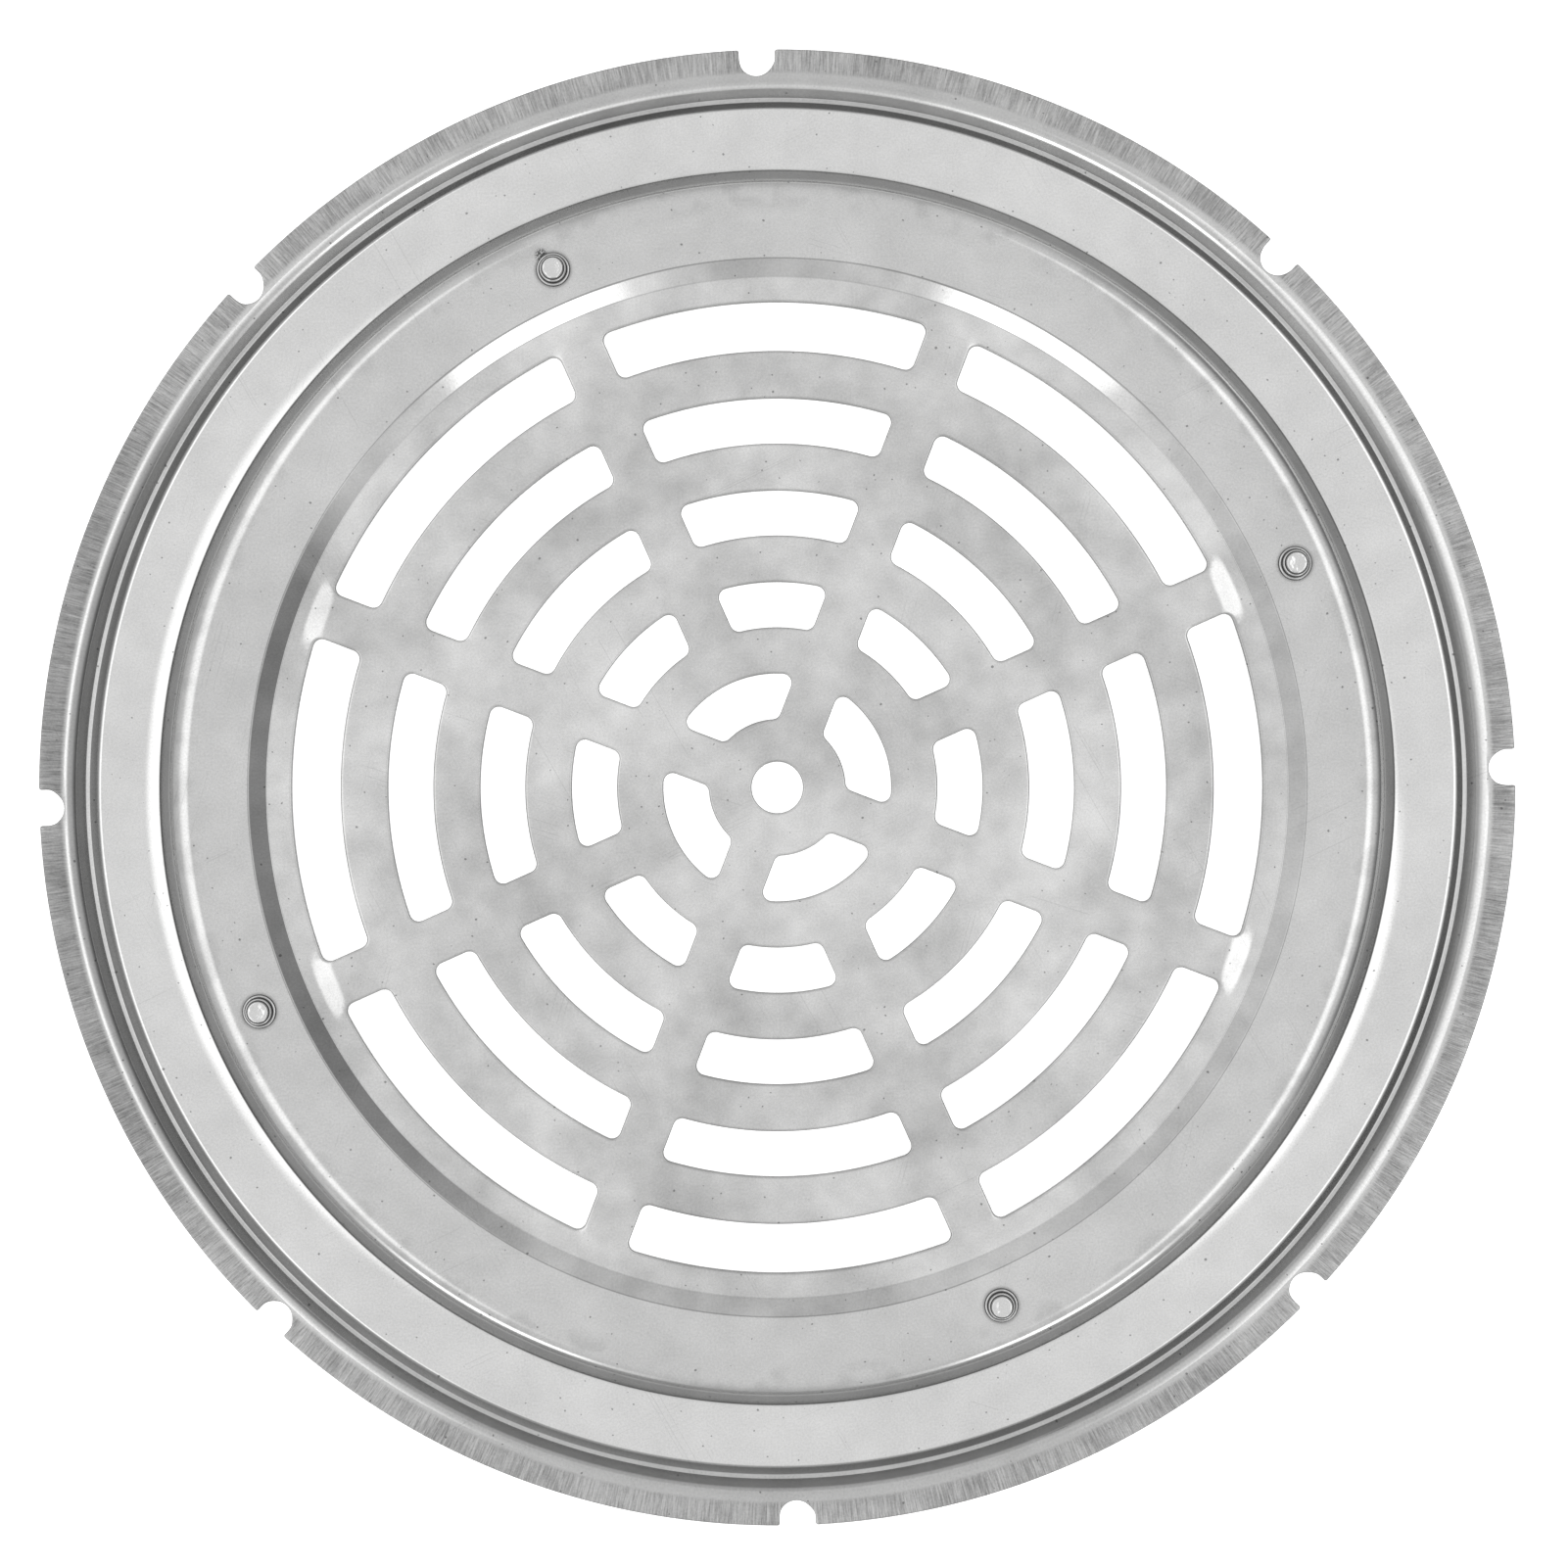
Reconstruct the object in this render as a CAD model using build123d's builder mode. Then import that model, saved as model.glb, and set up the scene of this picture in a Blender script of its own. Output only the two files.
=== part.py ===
from build123d import *

import os
from math import atan2, cos, radians, sin

# A round pressed-steel floor drain grate, 200 mm across, with four sprung clips riveted under it.
#
# The grate is one stainless pressing. From the middle outwards it has a flat slotted disc with a
# centre hole, a short 45 degree step up to a riveted annulus, a slope down to a flat polished
# ring that forms a shallow channel, and a slope up to the outer flange, which has eight notches
# in its edge. Four rivets hold four spring clips under the annulus. Each clip is a strip bent
# down from its foot, with a leaf that bulges out beyond the drain throat and grips it. The leaf
# is a body of its own, hinged at the strip's bend, so that the clip can flex.
#
# Units are millimetres. The origin is the middle of the centre hole in the disc's top face, and
# +Z is up, towards the person standing on the grate.

# Sheet and overall size
SHEET = 0.8
RIM_RADIUS = 100.0

# Levels of the top surface
DISC_TOP = 0.0
ANNULUS_TOP = 2.0
RING_TOP = -2.2
FLANGE_TOP = 1.6

# Radii of the corners of the sheet's middle line, before they are bent round
STEP_FOOT = 69.87
STEP_HEAD = 71.87
INNER_WALL_HEAD = 81.3
INNER_WALL_FOOT = 84.25
OUTER_WALL_FOOT = 93.25
OUTER_WALL_HEAD = 95.45

# Bend radii of those corners, on the middle line
STEP_FOOT_BEND = 0.8
STEP_HEAD_BEND = 0.8
INNER_WALL_HEAD_BEND = 2.6
INNER_WALL_FOOT_BEND = 0.8
OUTER_WALL_FOOT_BEND = 1.2
OUTER_WALL_HEAD_BEND = 3.2

# Holes in the disc
CENTRE_HOLE = 3.5
SPOKE_COUNT = 8
SPOKE_START = 22.5
SPOKE_WIDTH = 6.35
SLOT_CORNER = 1.25
SLOT_RINGS = ((21.8, 27.95), (34.3, 40.4), (46.8, 52.95), (59.4, 66.05))
WINDOW_RING = (9.3, 15.5)
WINDOW_COUNT = 4
WINDOW_START = 67.5

# Notches in the rim
NOTCH_COUNT = 8
NOTCH_RADIUS = 2.44
NOTCH_DEPTH = 3.45

# Rivets, through the annulus and the clip feet
RIVET_COUNT = 4
RIVET_START = 21.8
RIVET_PITCH_RADIUS = 76.35
RIVET_HOLE = 1.3
RIVET_SHANK = 1.25
RIVET_BASE = 2.3
RIVET_BASE_RIM = 0.25
RIVET_CROWN = 1.9
RIVET_CROWN_TOP = 1.3
RIVET_HEAD_HEIGHT = 1.5
RIVET_DISH = 0.12
RIVET_DISH_RADIUS = 1.05
RIVET_TAIL = 2.1
RIVET_TAIL_HEIGHT = 0.7

# Spring clips
STRIP = 0.4
STRIP_WIDTH = 10.0
FOOT_INNER = 72.9
FOOT_BEND = 79.1
FOOT_BEND_ROUND = 0.9
FOOT_LIP = 1.0
HINGE_GAP = 0.1
BULGE_CORNER = (83.1, -10.5)
BULGE_ROUND = 1.6
LEAF_TIP = (79.8, -15.5)

# Worked out from the sizes above
ANNULUS_BOTTOM = ANNULUS_TOP - SHEET
FOOT_MIDDLE = ANNULUS_BOTTOM - STRIP / 2
FOOT_BOTTOM = ANNULUS_BOTTOM - STRIP
CUT_TOP = ANNULUS_TOP + SHEET
CUT_DEPTH = CUT_TOP - DISC_TOP + 2 * SHEET
LEAF_SLOPE = atan2(BULGE_CORNER[1] - FOOT_MIDDLE, BULGE_CORNER[0] - FOOT_BEND)
LIP_END = (FOOT_BEND + FOOT_LIP * cos(LEAF_SLOPE), FOOT_MIDDLE + FOOT_LIP * sin(LEAF_SLOPE))
HINGE_REACH = FOOT_LIP + HINGE_GAP + STRIP / 2
HINGE = (FOOT_BEND + HINGE_REACH * cos(LEAF_SLOPE), FOOT_MIDDLE + HINGE_REACH * sin(LEAF_SLOPE))


def slot_sketch(inner, outer, count, start, web):
    """A ring of slots between two radii, parted by webs with parallel sides."""
    with BuildSketch(Plane.XY.offset(CUT_TOP)) as slots:
        Circle(outer)
        Circle(inner, mode=Mode.SUBTRACT)
        with PolarLocations((inner + outer) / 2, count, start_angle=start):
            Rectangle(2 * (outer - inner), web, mode=Mode.SUBTRACT)
        fillet(slots.vertices(), SLOT_CORNER)
    return slots.sketch


# The pressing: a section of constant thickness, turned about the drain's axis
with BuildPart() as grate_plate:
    with BuildSketch(Plane.XZ):
        with BuildLine() as middle:
            FilletPolyline(
                (CENTRE_HOLE, DISC_TOP - SHEET / 2),
                (STEP_FOOT, DISC_TOP - SHEET / 2),
                (STEP_HEAD, ANNULUS_TOP - SHEET / 2),
                (INNER_WALL_HEAD, ANNULUS_TOP - SHEET / 2),
                (INNER_WALL_FOOT, RING_TOP - SHEET / 2),
                (OUTER_WALL_FOOT, RING_TOP - SHEET / 2),
                (OUTER_WALL_HEAD, FLANGE_TOP - SHEET / 2),
                (RIM_RADIUS, FLANGE_TOP - SHEET / 2),
                radius=[
                    STEP_FOOT_BEND,
                    STEP_HEAD_BEND,
                    INNER_WALL_HEAD_BEND,
                    INNER_WALL_FOOT_BEND,
                    OUTER_WALL_FOOT_BEND,
                    OUTER_WALL_HEAD_BEND,
                ],
            )
        trace(middle.wires()[0], line_width=SHEET)
    revolve(axis=Axis.Z)

    # Slots and windows in the disc
    for inner, outer in SLOT_RINGS:
        add(slot_sketch(inner, outer, SPOKE_COUNT, SPOKE_START, SPOKE_WIDTH))
        extrude(amount=-CUT_DEPTH, mode=Mode.SUBTRACT)
    add(slot_sketch(*WINDOW_RING, WINDOW_COUNT, WINDOW_START, SPOKE_WIDTH))
    extrude(amount=-CUT_DEPTH, mode=Mode.SUBTRACT)

    # Round-bottomed notches, open at the rim
    with BuildSketch(Plane.XY.offset(CUT_TOP)):
        with PolarLocations(RIM_RADIUS, NOTCH_COUNT):
            SlotCenterToCenter(2 * (NOTCH_DEPTH - NOTCH_RADIUS), 2 * NOTCH_RADIUS)
    extrude(amount=-CUT_DEPTH, mode=Mode.SUBTRACT)

    # Rivet holes
    with BuildSketch(Plane.XY.offset(CUT_TOP)):
        with PolarLocations(RIVET_PITCH_RADIUS, RIVET_COUNT, start_angle=RIVET_START):
            Circle(RIVET_HOLE)
    extrude(amount=-CUT_DEPTH, mode=Mode.SUBTRACT)


def radial_plane(angle):
    """A plane with x outwards from the drain's axis at this angle, and y straight up."""
    return Plane(
        origin=(0, 0, 0),
        x_dir=(cos(radians(angle)), sin(radians(angle)), 0),
        z_dir=(sin(radians(angle)), -cos(radians(angle)), 0),
    )


def rivet(angle):
    """A button-headed rivet whose tail is set under the clip's foot."""
    head_top = ANNULUS_TOP + RIVET_HEAD_HEIGHT
    shoulder = ANNULUS_TOP + 0.6 * RIVET_HEAD_HEIGHT
    centre = Vector(cos(radians(angle)), sin(radians(angle))) * RIVET_PITCH_RADIUS
    section_plane = radial_plane(angle)
    section_plane.origin = centre
    with BuildPart() as part:
        with BuildSketch(section_plane):
            with BuildLine():
                Polyline(
                    (RIVET_CROWN_TOP, head_top),
                    (RIVET_DISH_RADIUS, head_top - RIVET_DISH),
                    (0, head_top - RIVET_DISH),
                    (0, FOOT_BOTTOM - RIVET_TAIL_HEIGHT),
                    (0.8 * RIVET_TAIL, FOOT_BOTTOM - RIVET_TAIL_HEIGHT),
                    (RIVET_TAIL, FOOT_BOTTOM - 0.6 * RIVET_TAIL_HEIGHT),
                    (RIVET_TAIL, FOOT_BOTTOM),
                    (RIVET_SHANK, FOOT_BOTTOM),
                    (RIVET_SHANK, ANNULUS_TOP),
                    (RIVET_BASE, ANNULUS_TOP),
                    (RIVET_BASE, ANNULUS_TOP + RIVET_BASE_RIM),
                    (RIVET_CROWN, ANNULUS_TOP + RIVET_BASE_RIM),
                    (RIVET_CROWN, shoulder),
                )
                ThreePointArc(
                    (RIVET_CROWN, shoulder),
                    (0.92 * RIVET_CROWN, ANNULUS_TOP + 0.85 * RIVET_HEAD_HEIGHT),
                    (RIVET_CROWN_TOP, head_top),
                )
            make_face()
        revolve(axis=Axis((centre.X, centre.Y, 0), (0, 0, 1)))
    return part


def clip_foot(angle):
    """The flat of a clip under the annulus, with the start of its bend and its rivet hole."""
    with BuildPart() as part:
        with BuildSketch(radial_plane(angle)):
            with BuildLine() as middle:
                FilletPolyline(
                    (FOOT_INNER, FOOT_MIDDLE),
                    (FOOT_BEND, FOOT_MIDDLE),
                    LIP_END,
                    radius=FOOT_BEND_ROUND,
                )
            trace(middle.wires()[0], line_width=STRIP)
        extrude(amount=STRIP_WIDTH / 2, both=True)
        with BuildSketch(Plane.XY.offset(ANNULUS_BOTTOM)):
            with PolarLocations(RIVET_PITCH_RADIUS, 1, start_angle=angle):
                Circle(RIVET_HOLE)
        extrude(amount=-2 * STRIP, mode=Mode.SUBTRACT)
    return part


def clip_leaf(angle):
    """The sprung part of a clip, from the bend down to its bulge and back in to its tip."""
    with BuildPart() as part:
        with BuildSketch(radial_plane(angle)):
            with BuildLine() as middle:
                FilletPolyline(HINGE, BULGE_CORNER, LEAF_TIP, radius=BULGE_ROUND)
            trace(middle.wires()[0], line_width=STRIP)
            with Locations(HINGE, LEAF_TIP):
                Circle(STRIP / 2)
        extrude(amount=STRIP_WIDTH / 2, both=True)
    return part


os.makedirs("parts", exist_ok=True)

grate_plate.part.label = "grate_plate"
export_step(grate_plate.part, "parts/grate_plate.step")

for number in range(RIVET_COUNT):
    bearing = RIVET_START + 360 / RIVET_COUNT * number
    for name, make in (("rivet", rivet), ("clip_foot", clip_foot), ("clip_leaf", clip_leaf)):
        piece = make(bearing)
        piece.part.label = f"{name}_{number + 1}"
        export_step(piece.part, f"parts/{piece.part.label}.step")

print("hinge line of each clip: radius and height", HINGE)
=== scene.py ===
from functools import partial
from math import atan2, ceil, copysign, cos, degrees, exp, hypot, pi, radians, sin, sqrt, tan

import bmesh
import bpy
import numpy as np
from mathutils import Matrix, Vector, kdtree, noise
from mathutils.geometry import delaunay_2d_cdt


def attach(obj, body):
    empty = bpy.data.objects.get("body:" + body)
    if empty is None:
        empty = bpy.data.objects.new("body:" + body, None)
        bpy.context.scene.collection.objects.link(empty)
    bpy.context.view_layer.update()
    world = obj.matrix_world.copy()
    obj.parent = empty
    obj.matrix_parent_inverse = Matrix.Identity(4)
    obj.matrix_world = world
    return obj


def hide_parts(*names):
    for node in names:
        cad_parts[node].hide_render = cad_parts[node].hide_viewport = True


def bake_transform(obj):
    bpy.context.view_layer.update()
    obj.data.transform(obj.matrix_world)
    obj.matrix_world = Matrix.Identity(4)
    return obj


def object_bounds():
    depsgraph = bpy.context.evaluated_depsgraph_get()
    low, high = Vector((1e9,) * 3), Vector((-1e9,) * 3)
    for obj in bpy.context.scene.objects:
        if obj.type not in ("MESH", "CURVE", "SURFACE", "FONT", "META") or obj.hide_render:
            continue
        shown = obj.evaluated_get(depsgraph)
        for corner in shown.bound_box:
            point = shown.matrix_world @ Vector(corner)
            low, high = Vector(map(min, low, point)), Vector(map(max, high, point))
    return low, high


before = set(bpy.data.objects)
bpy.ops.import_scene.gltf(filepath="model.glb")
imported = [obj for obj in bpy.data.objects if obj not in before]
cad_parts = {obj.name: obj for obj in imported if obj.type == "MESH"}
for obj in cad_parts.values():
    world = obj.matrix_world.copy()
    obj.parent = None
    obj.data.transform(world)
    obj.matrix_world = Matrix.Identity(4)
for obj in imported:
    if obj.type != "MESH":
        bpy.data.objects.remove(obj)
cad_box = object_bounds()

# Sizes are in millimetres, as on the part's drawing, and turn into metres as each mesh is made.
MM = 0.001

# The pressed sheet: its top surface from the step outwards, as corners and the rounding of each
SHEET = 0.8
RIM_RADIUS = 100.0
CENTRE_HOLE = 3.5
STEP_START = 69.0
STEP = ((STEP_START, 0.0), (69.5, 0.0), (71.6, 2.0), (73.2, 2.0))
STEP_ROUNDS = (0.15, 0.35)
CHANNEL = (
    (79.6, 2.0),
    (81.5, 2.0),
    (84.45, -1.98),
    (86.0, -2.2),
    (92.72, -2.2),
    (93.62, -1.05),
    (94.12, -0.9),
    (95.85, 1.6),
    (RIM_RADIUS, 1.6),
)
CHANNEL_ROUNDS = (3.5, 0.25, 13.0, 1.0, 0.3, 0.1, 3.0)
LIP_START = 96.3
TURN_STEP = radians(8)
AROUND = 400

# The plan of the disc and the rim
SPOKE_COUNT = 8
SPOKE_START = 22.5
SPOKE_WIDTH = 6.35
SLOT_CORNER = 1.25
SLOT_RINGS = ((21.8, 27.95), (34.3, 40.4), (46.8, 52.95), (59.4, 66.05))
WINDOW_RING = (9.3, 15.5)
WINDOW_COUNT = 4
WINDOW_START = 67.5
NOTCH_COUNT = 8
NOTCH_RADIUS = 2.44
NOTCH_DEPTH = 3.45
NOTCH_TIP = 0.3
RIVET_COUNT = 4
RIVET_START = 21.8
RIVET_PITCH_RADIUS = 76.35
RIVET_HOLE = 1.3

# How finely the plan is divided, and the rolled upper edge that shearing leaves
EDGE_SPACING = 1.1
FILL_SPACING = 1.6
LIP_RINGS = (96.45, 96.62, 96.8, 97.0, 97.2, 97.5, 98.1, 98.9)
ROLL_STEPS = 3
SLOT_ROLL = (0.4, 0.14)
RIM_ROLL = (0.2, 0.12)
FLAT_FOOT = 0.05
LEAST_BEND = 0.3
HOLE_POINTS = 32
HOLE_RINGS = 7
HOLE_RING_SPACING = 0.4


# ---------------------------------------------------------------- outlines in plan


def polar(radius, degrees_round, centre=(0.0, 0.0)):
    """The point at this radius and bearing from centre."""
    angle = radians(degrees_round)
    return centre[0] + radius * cos(angle), centre[1] + radius * sin(angle)


def arc(centre, radius, start, end, count):
    """count points from the start bearing towards the end bearing, leaving out the end."""
    return [polar(radius, start + (end - start) * i / count, centre) for i in range(count)]


def circle(radius, count, centre=(0.0, 0.0)):
    """count points round a circle."""
    return arc(centre, radius, 0, 360, count)


def slot_outline(inner, outer, middle, pitch, grow):
    """A slot with its sides parallel to the spokes beside it. grow moves it out into the metal."""
    outer_count = ceil(radians(pitch) * outer / EDGE_SPACING)
    inner_count = ceil(radians(pitch) * inner / EDGE_SPACING)
    inner, outer = inner - grow, outer + grow
    corner = SLOT_CORNER + grow
    side = SPOKE_WIDTH / 2 - grow + corner
    outer_turn = atan2(side, sqrt((outer - corner) ** 2 - side**2)) * 180 / pi
    inner_turn = atan2(side, sqrt((inner + corner) ** 2 - side**2)) * 180 / pi
    low, high = middle - pitch / 2, middle + pitch / 2
    outer_high = polar(outer - corner, high - outer_turn)
    inner_high = polar(inner + corner, high - inner_turn)
    inner_low = polar(inner + corner, low + inner_turn)
    outer_low = polar(outer - corner, low + outer_turn)
    return (
        arc((0, 0), outer, low + outer_turn, high - outer_turn, outer_count)
        + arc(outer_high, corner, high - outer_turn, high + 90, 6)
        + [polar(corner, high + 90, outer_high)]
        + arc(inner_high, corner, high + 90, high + 180 - inner_turn, 6)
        + arc((0, 0), inner, high - inner_turn, low + inner_turn, inner_count)
        + arc(inner_low, corner, low + inner_turn + 180, low + 270, 6)
        + [polar(corner, low + 270, inner_low)]
        + arc(outer_low, corner, low + 270, low + outer_turn + 360, 6)
    )


def rim_outline(grow):
    """The notched rim. grow moves it in into the metal."""
    tip_side = NOTCH_RADIUS + NOTCH_TIP
    tip_reach = sqrt((RIM_RADIUS - NOTCH_TIP) ** 2 - tip_side**2)
    tip_turn = atan2(tip_side, tip_reach) * 180 / pi
    tip = NOTCH_TIP - grow
    bowl_reach = RIM_RADIUS - NOTCH_DEPTH + NOTCH_RADIUS
    points = []
    for number in range(NOTCH_COUNT):
        bearing = 360 / NOTCH_COUNT * number
        tip_low = polar(hypot(tip_reach, tip_side), bearing - tip_turn)
        tip_high = polar(hypot(tip_reach, tip_side), bearing + tip_turn)
        bowl = polar(bowl_reach, bearing)
        points += arc(tip_low, tip, bearing - tip_turn, bearing + 90, 5)
        points += [polar(tip, bearing + 90, tip_low)]
        points += arc(bowl, NOTCH_RADIUS + grow, bearing + 270, bearing + 90, 22)
        points += [polar(NOTCH_RADIUS + grow, bearing + 90, bowl)]
        points += arc(tip_high, tip, bearing - 90, bearing + tip_turn, 5)
        rim_end = bearing + 360 / NOTCH_COUNT - tip_turn
        points += arc((0, 0), RIM_RADIUS - grow, bearing + tip_turn, rim_end, 50)
    return points


def hole_outlines():
    """Every opening in the disc, each as a function of how far it is grown out into the metal."""
    outlines = [lambda grow: circle(CENTRE_HOLE + grow, 48)]
    window_pitch = 360 / WINDOW_COUNT
    for number in range(WINDOW_COUNT):
        middle = WINDOW_START + window_pitch * (number + 0.5)
        outlines.append(partial(slot_outline, *WINDOW_RING, middle, window_pitch))
    pitch = 360 / SPOKE_COUNT
    for inner, outer in SLOT_RINGS:
        for number in range(SPOKE_COUNT):
            middle = SPOKE_START + pitch * (number + 0.5)
            outlines.append(partial(slot_outline, inner, outer, middle, pitch))
    return outlines


def rivet_places():
    """The middles of the rivets."""
    return [
        polar(RIVET_PITCH_RADIUS, RIVET_START + 360 / RIVET_COUNT * number)
        for number in range(RIVET_COUNT)
    ]


# ---------------------------------------------------------------- the sheet's small departures

ROOT_LIFTS = ((60.2, 65.0, 0.4), (64.8, 68.6, -0.53), (68.4, 69.45, 0.13))
ROOT_HALF_WIDTH = 5.0
ROOT_SPACING = 0.55
ROOT_REACH = 1.25
FLATTER_BEARING = 42.0
FLATTER_COSINES = (0.45, 0.85)
FLATTER_SPAN = (1.4, 1.6)
FLATTER_FALL = 0.15
OFF_CENTRE = (0.13, 0.1)
OFF_CENTRE_BAND = (92.9, 93.6, 97.3, 98.6)
DIMPLE_RADIUS = 2.9
DIMPLE_DEPTH = 0.04
# Painted shade with grime round each rivet's head: the distance where it is full, where it ends, and how
# much.
RIVET_GRIME_AND_SHADE = (2.3, 2.8, 0.9)
WAVES = 0.02
WAVE_LENGTH = 26.0


def smooth(value):
    """0 below 0, 1 above 1, and a smooth step between."""
    value = min(max(value, 0.0), 1.0)
    return value * value * (3 - 2 * value)


def relief(x, y):
    """How far the sheet stands above its nominal surface: drawn spoke roots, rivet dimples, waves."""
    radius = hypot(x, y)
    pitch = 2 * pi / SPOKE_COUNT
    turn = (atan2(y, x) - radians(SPOKE_START) + pitch / 2) % pitch - pitch / 2
    across = radius * turn / ROOT_HALF_WIDTH
    lift = sum(rise * smooth((radius - start) / (end - start)) for start, end, rise in ROOT_LIFTS)
    lift *= exp(-abs(across) ** 3)
    facing = cos(atan2(y, x) - radians(FLATTER_BEARING))
    low, high = FLATTER_COSINES
    corner = CHANNEL[2][0]
    before, after = FLATTER_SPAN
    fall = FLATTER_FALL * smooth((facing - low) / (high - low))
    lift -= fall * smooth((radius - corner + before) / before) * smooth((corner + after - radius) / after)
    for place in rivet_places():
        away = hypot(x - place[0], y - place[1]) / DIMPLE_RADIUS
        if away < 3:
            lift -= DIMPLE_DEPTH * exp(-(away**4))
    return lift + WAVES * noise.noise(Vector((x / WAVE_LENGTH, y / WAVE_LENGTH, 3.7)))


def off_centre(x, y):
    """Where a point ends up: the outer bend is pressed a little off the disc's centre."""
    radius = hypot(x, y)
    start, full, fading, end = OFF_CENTRE_BAND
    share = smooth((radius - start) / (full - start)) * smooth((end - radius) / (end - fading))
    return x - OFF_CENTRE[0] * share, y - OFF_CENTRE[1] * share


def rivet_grime_and_shade(x, y):
    """How much grime and painted shade the sheet takes here, in the crevice round each rivet's head."""
    away = min(hypot(x - place[0], y - place[1]) for place in rivet_places())
    full, clean, amount = RIVET_GRIME_AND_SHADE
    return amount * smooth((clean - away) / (clean - full))


def root_points():
    """Extra points over the drawn roots of the spokes, close enough to hold their shape."""
    reach = ROOT_REACH * ROOT_HALF_WIDTH
    start, end = ROOT_LIFTS[0][1] - 1.2, STEP_START
    points = []
    for number in range(SPOKE_COUNT):
        bearing = SPOKE_START + 360 / SPOKE_COUNT * number
        for i in range(1, ceil((end - start) / ROOT_SPACING)):
            radius = start + ROOT_SPACING * i
            half = degrees(reach / radius)
            points += arc((0, 0), radius, bearing - half, bearing + half, ceil(2 * reach / ROOT_SPACING))
    return points


# ---------------------------------------------------------------- the pressing


def bent_line(corners, rounds):
    """A line through these corners with each one rounded, as points close enough for smooth shading."""
    points = [corners[0]]
    for before, corner, after, rounding in zip(corners, corners[1:], corners[2:], rounds):
        start = atan2(corner[1] - before[1], corner[0] - before[0])
        turn = atan2(after[1] - corner[1], after[0] - corner[0]) - start
        reach = rounding * tan(abs(turn) / 2)
        hand = copysign(1, turn)
        centre = (
            corner[0] - reach * cos(start) - rounding * hand * sin(start),
            corner[1] - reach * sin(start) + rounding * hand * cos(start),
        )
        steps = max(2, ceil(abs(turn) / TURN_STEP))
        for i in range(steps + 1):
            angle = start + turn * i / steps
            points.append(
                (
                    centre[0] + rounding * hand * sin(angle),
                    centre[1] - rounding * hand * cos(angle),
                )
            )
    points.append(corners[-1])
    return points


def under(corners, rounds):
    """The underside of a bent sheet: its corners moved in by the sheet's thickness, and its roundings."""
    moved = [(corners[0][0], corners[0][1] - SHEET)]
    radii = []
    for before, corner, after, rounding in zip(corners, corners[1:], corners[2:], rounds):
        start = atan2(corner[1] - before[1], corner[0] - before[0])
        end = atan2(after[1] - corner[1], after[0] - corner[0])
        share = SHEET / (1 + cos(end - start))
        moved.append(
            (
                corner[0] + share * (sin(start) + sin(end)),
                corner[1] - share * (cos(start) + cos(end)),
            )
        )
        radii.append(rounding + SHEET if end > start else max(rounding - SHEET, LEAST_BEND))
    moved.append((corners[-1][0], corners[-1][1] - SHEET))
    return moved, radii


class Skin:
    """Points and faces of a mesh as they are added, and the grime and painted shade on each point, as on
    rough-cut walls.
    """

    def __init__(self):
        self.points = []
        self.grime_and_shade = []
        self.faces = []

    def add(self, points, grime_and_shade=0.0):
        """Adds points with this much grime and painted shade, and returns their numbers."""
        start = len(self.points)
        self.points += points
        self.grime_and_shade += [grime_and_shade] * len(points)
        return list(range(start, len(self.points)))

    def strip(self, one, other):
        """Quads between two closed loops of equally many points."""
        for i in range(len(one)):
            j = (i + 1) % len(one)
            self.faces.append((one[i], one[j], other[j], other[i]))

    def mesh(self, name):
        """The object, with meeting points joined and every face turned outwards."""
        data = bpy.data.meshes.new(name)
        data.from_pydata([Vector(p) * MM for p in self.points], [], self.faces)
        marks = data.attributes.new("grime_and_shade", "FLOAT", "POINT")
        marks.data.foreach_set("value", self.grime_and_shade)
        work = bmesh.new()
        work.from_mesh(data)
        loose = [v for v in work.verts if not v.link_faces]
        bmesh.ops.delete(work, geom=loose, context="VERTS")
        bmesh.ops.remove_doubles(work, verts=work.verts, dist=2e-6)
        bmesh.ops.recalc_face_normals(work, faces=work.faces)
        work.to_mesh(data)
        work.free()
        data.shade_smooth()
        thing = bpy.data.objects.new(name, data)
        bpy.context.scene.collection.objects.link(thing)
        return thing


def clear_of(points, loops, distance):
    """Those of the points that are further than distance from every point of the loops."""
    edge = [Vector((*p, 0)) for loop in loops for p in loop]
    tree = kdtree.KDTree(len(edge))
    for number, point in enumerate(edge):
        tree.insert(point, number)
    tree.balance()
    return [p for p in points if tree.find(Vector((*p, 0)))[2] > distance]


def filling(inner, outer, spacing, loops):
    """Points spread evenly between two radii, kept clear of the loops."""
    rings = max(2, round((outer - inner) / spacing))
    points = []
    for ring in range(1, rings):
        radius = inner + (outer - inner) * ring / rings
        count = ceil(2 * pi * radius / spacing)
        turn = 180 / count * (ring % 2)
        points += arc((0, 0), radius, turn, turn + 360, count)
    return clear_of(points, loops, spacing * 0.6)


def heights(line):
    """A section line as the radii and heights that sheet_point reads between."""
    return [p[0] for p in line], [p[1] for p in line]


def sheet_point(place, share, top, bottom):
    """A point in the sheet over this place, share 0 being its top surface and 1 its underside."""
    radius = hypot(*place)
    high = np.interp(radius, *top)
    low = np.interp(radius, *bottom)
    return *off_centre(*place), high + (low - high) * share + relief(*place)


def divided(loops, extra):
    """Points, and triangles between them, that fill the first loop outside the others."""
    points = [Vector(p) for loop in loops for p in loop] + [Vector(p) for p in extra]
    outlines = []
    start = 0
    for loop in loops:
        outlines.append(list(range(start, start + len(loop))))
        start += len(loop)
    plan, _, triangles, _, _, owners = delaunay_2d_cdt(points, [], outlines, 0, 1e-6, True)
    return plan, [t for t, owner in zip(triangles, owners) if list(owner) == [0]]


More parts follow.
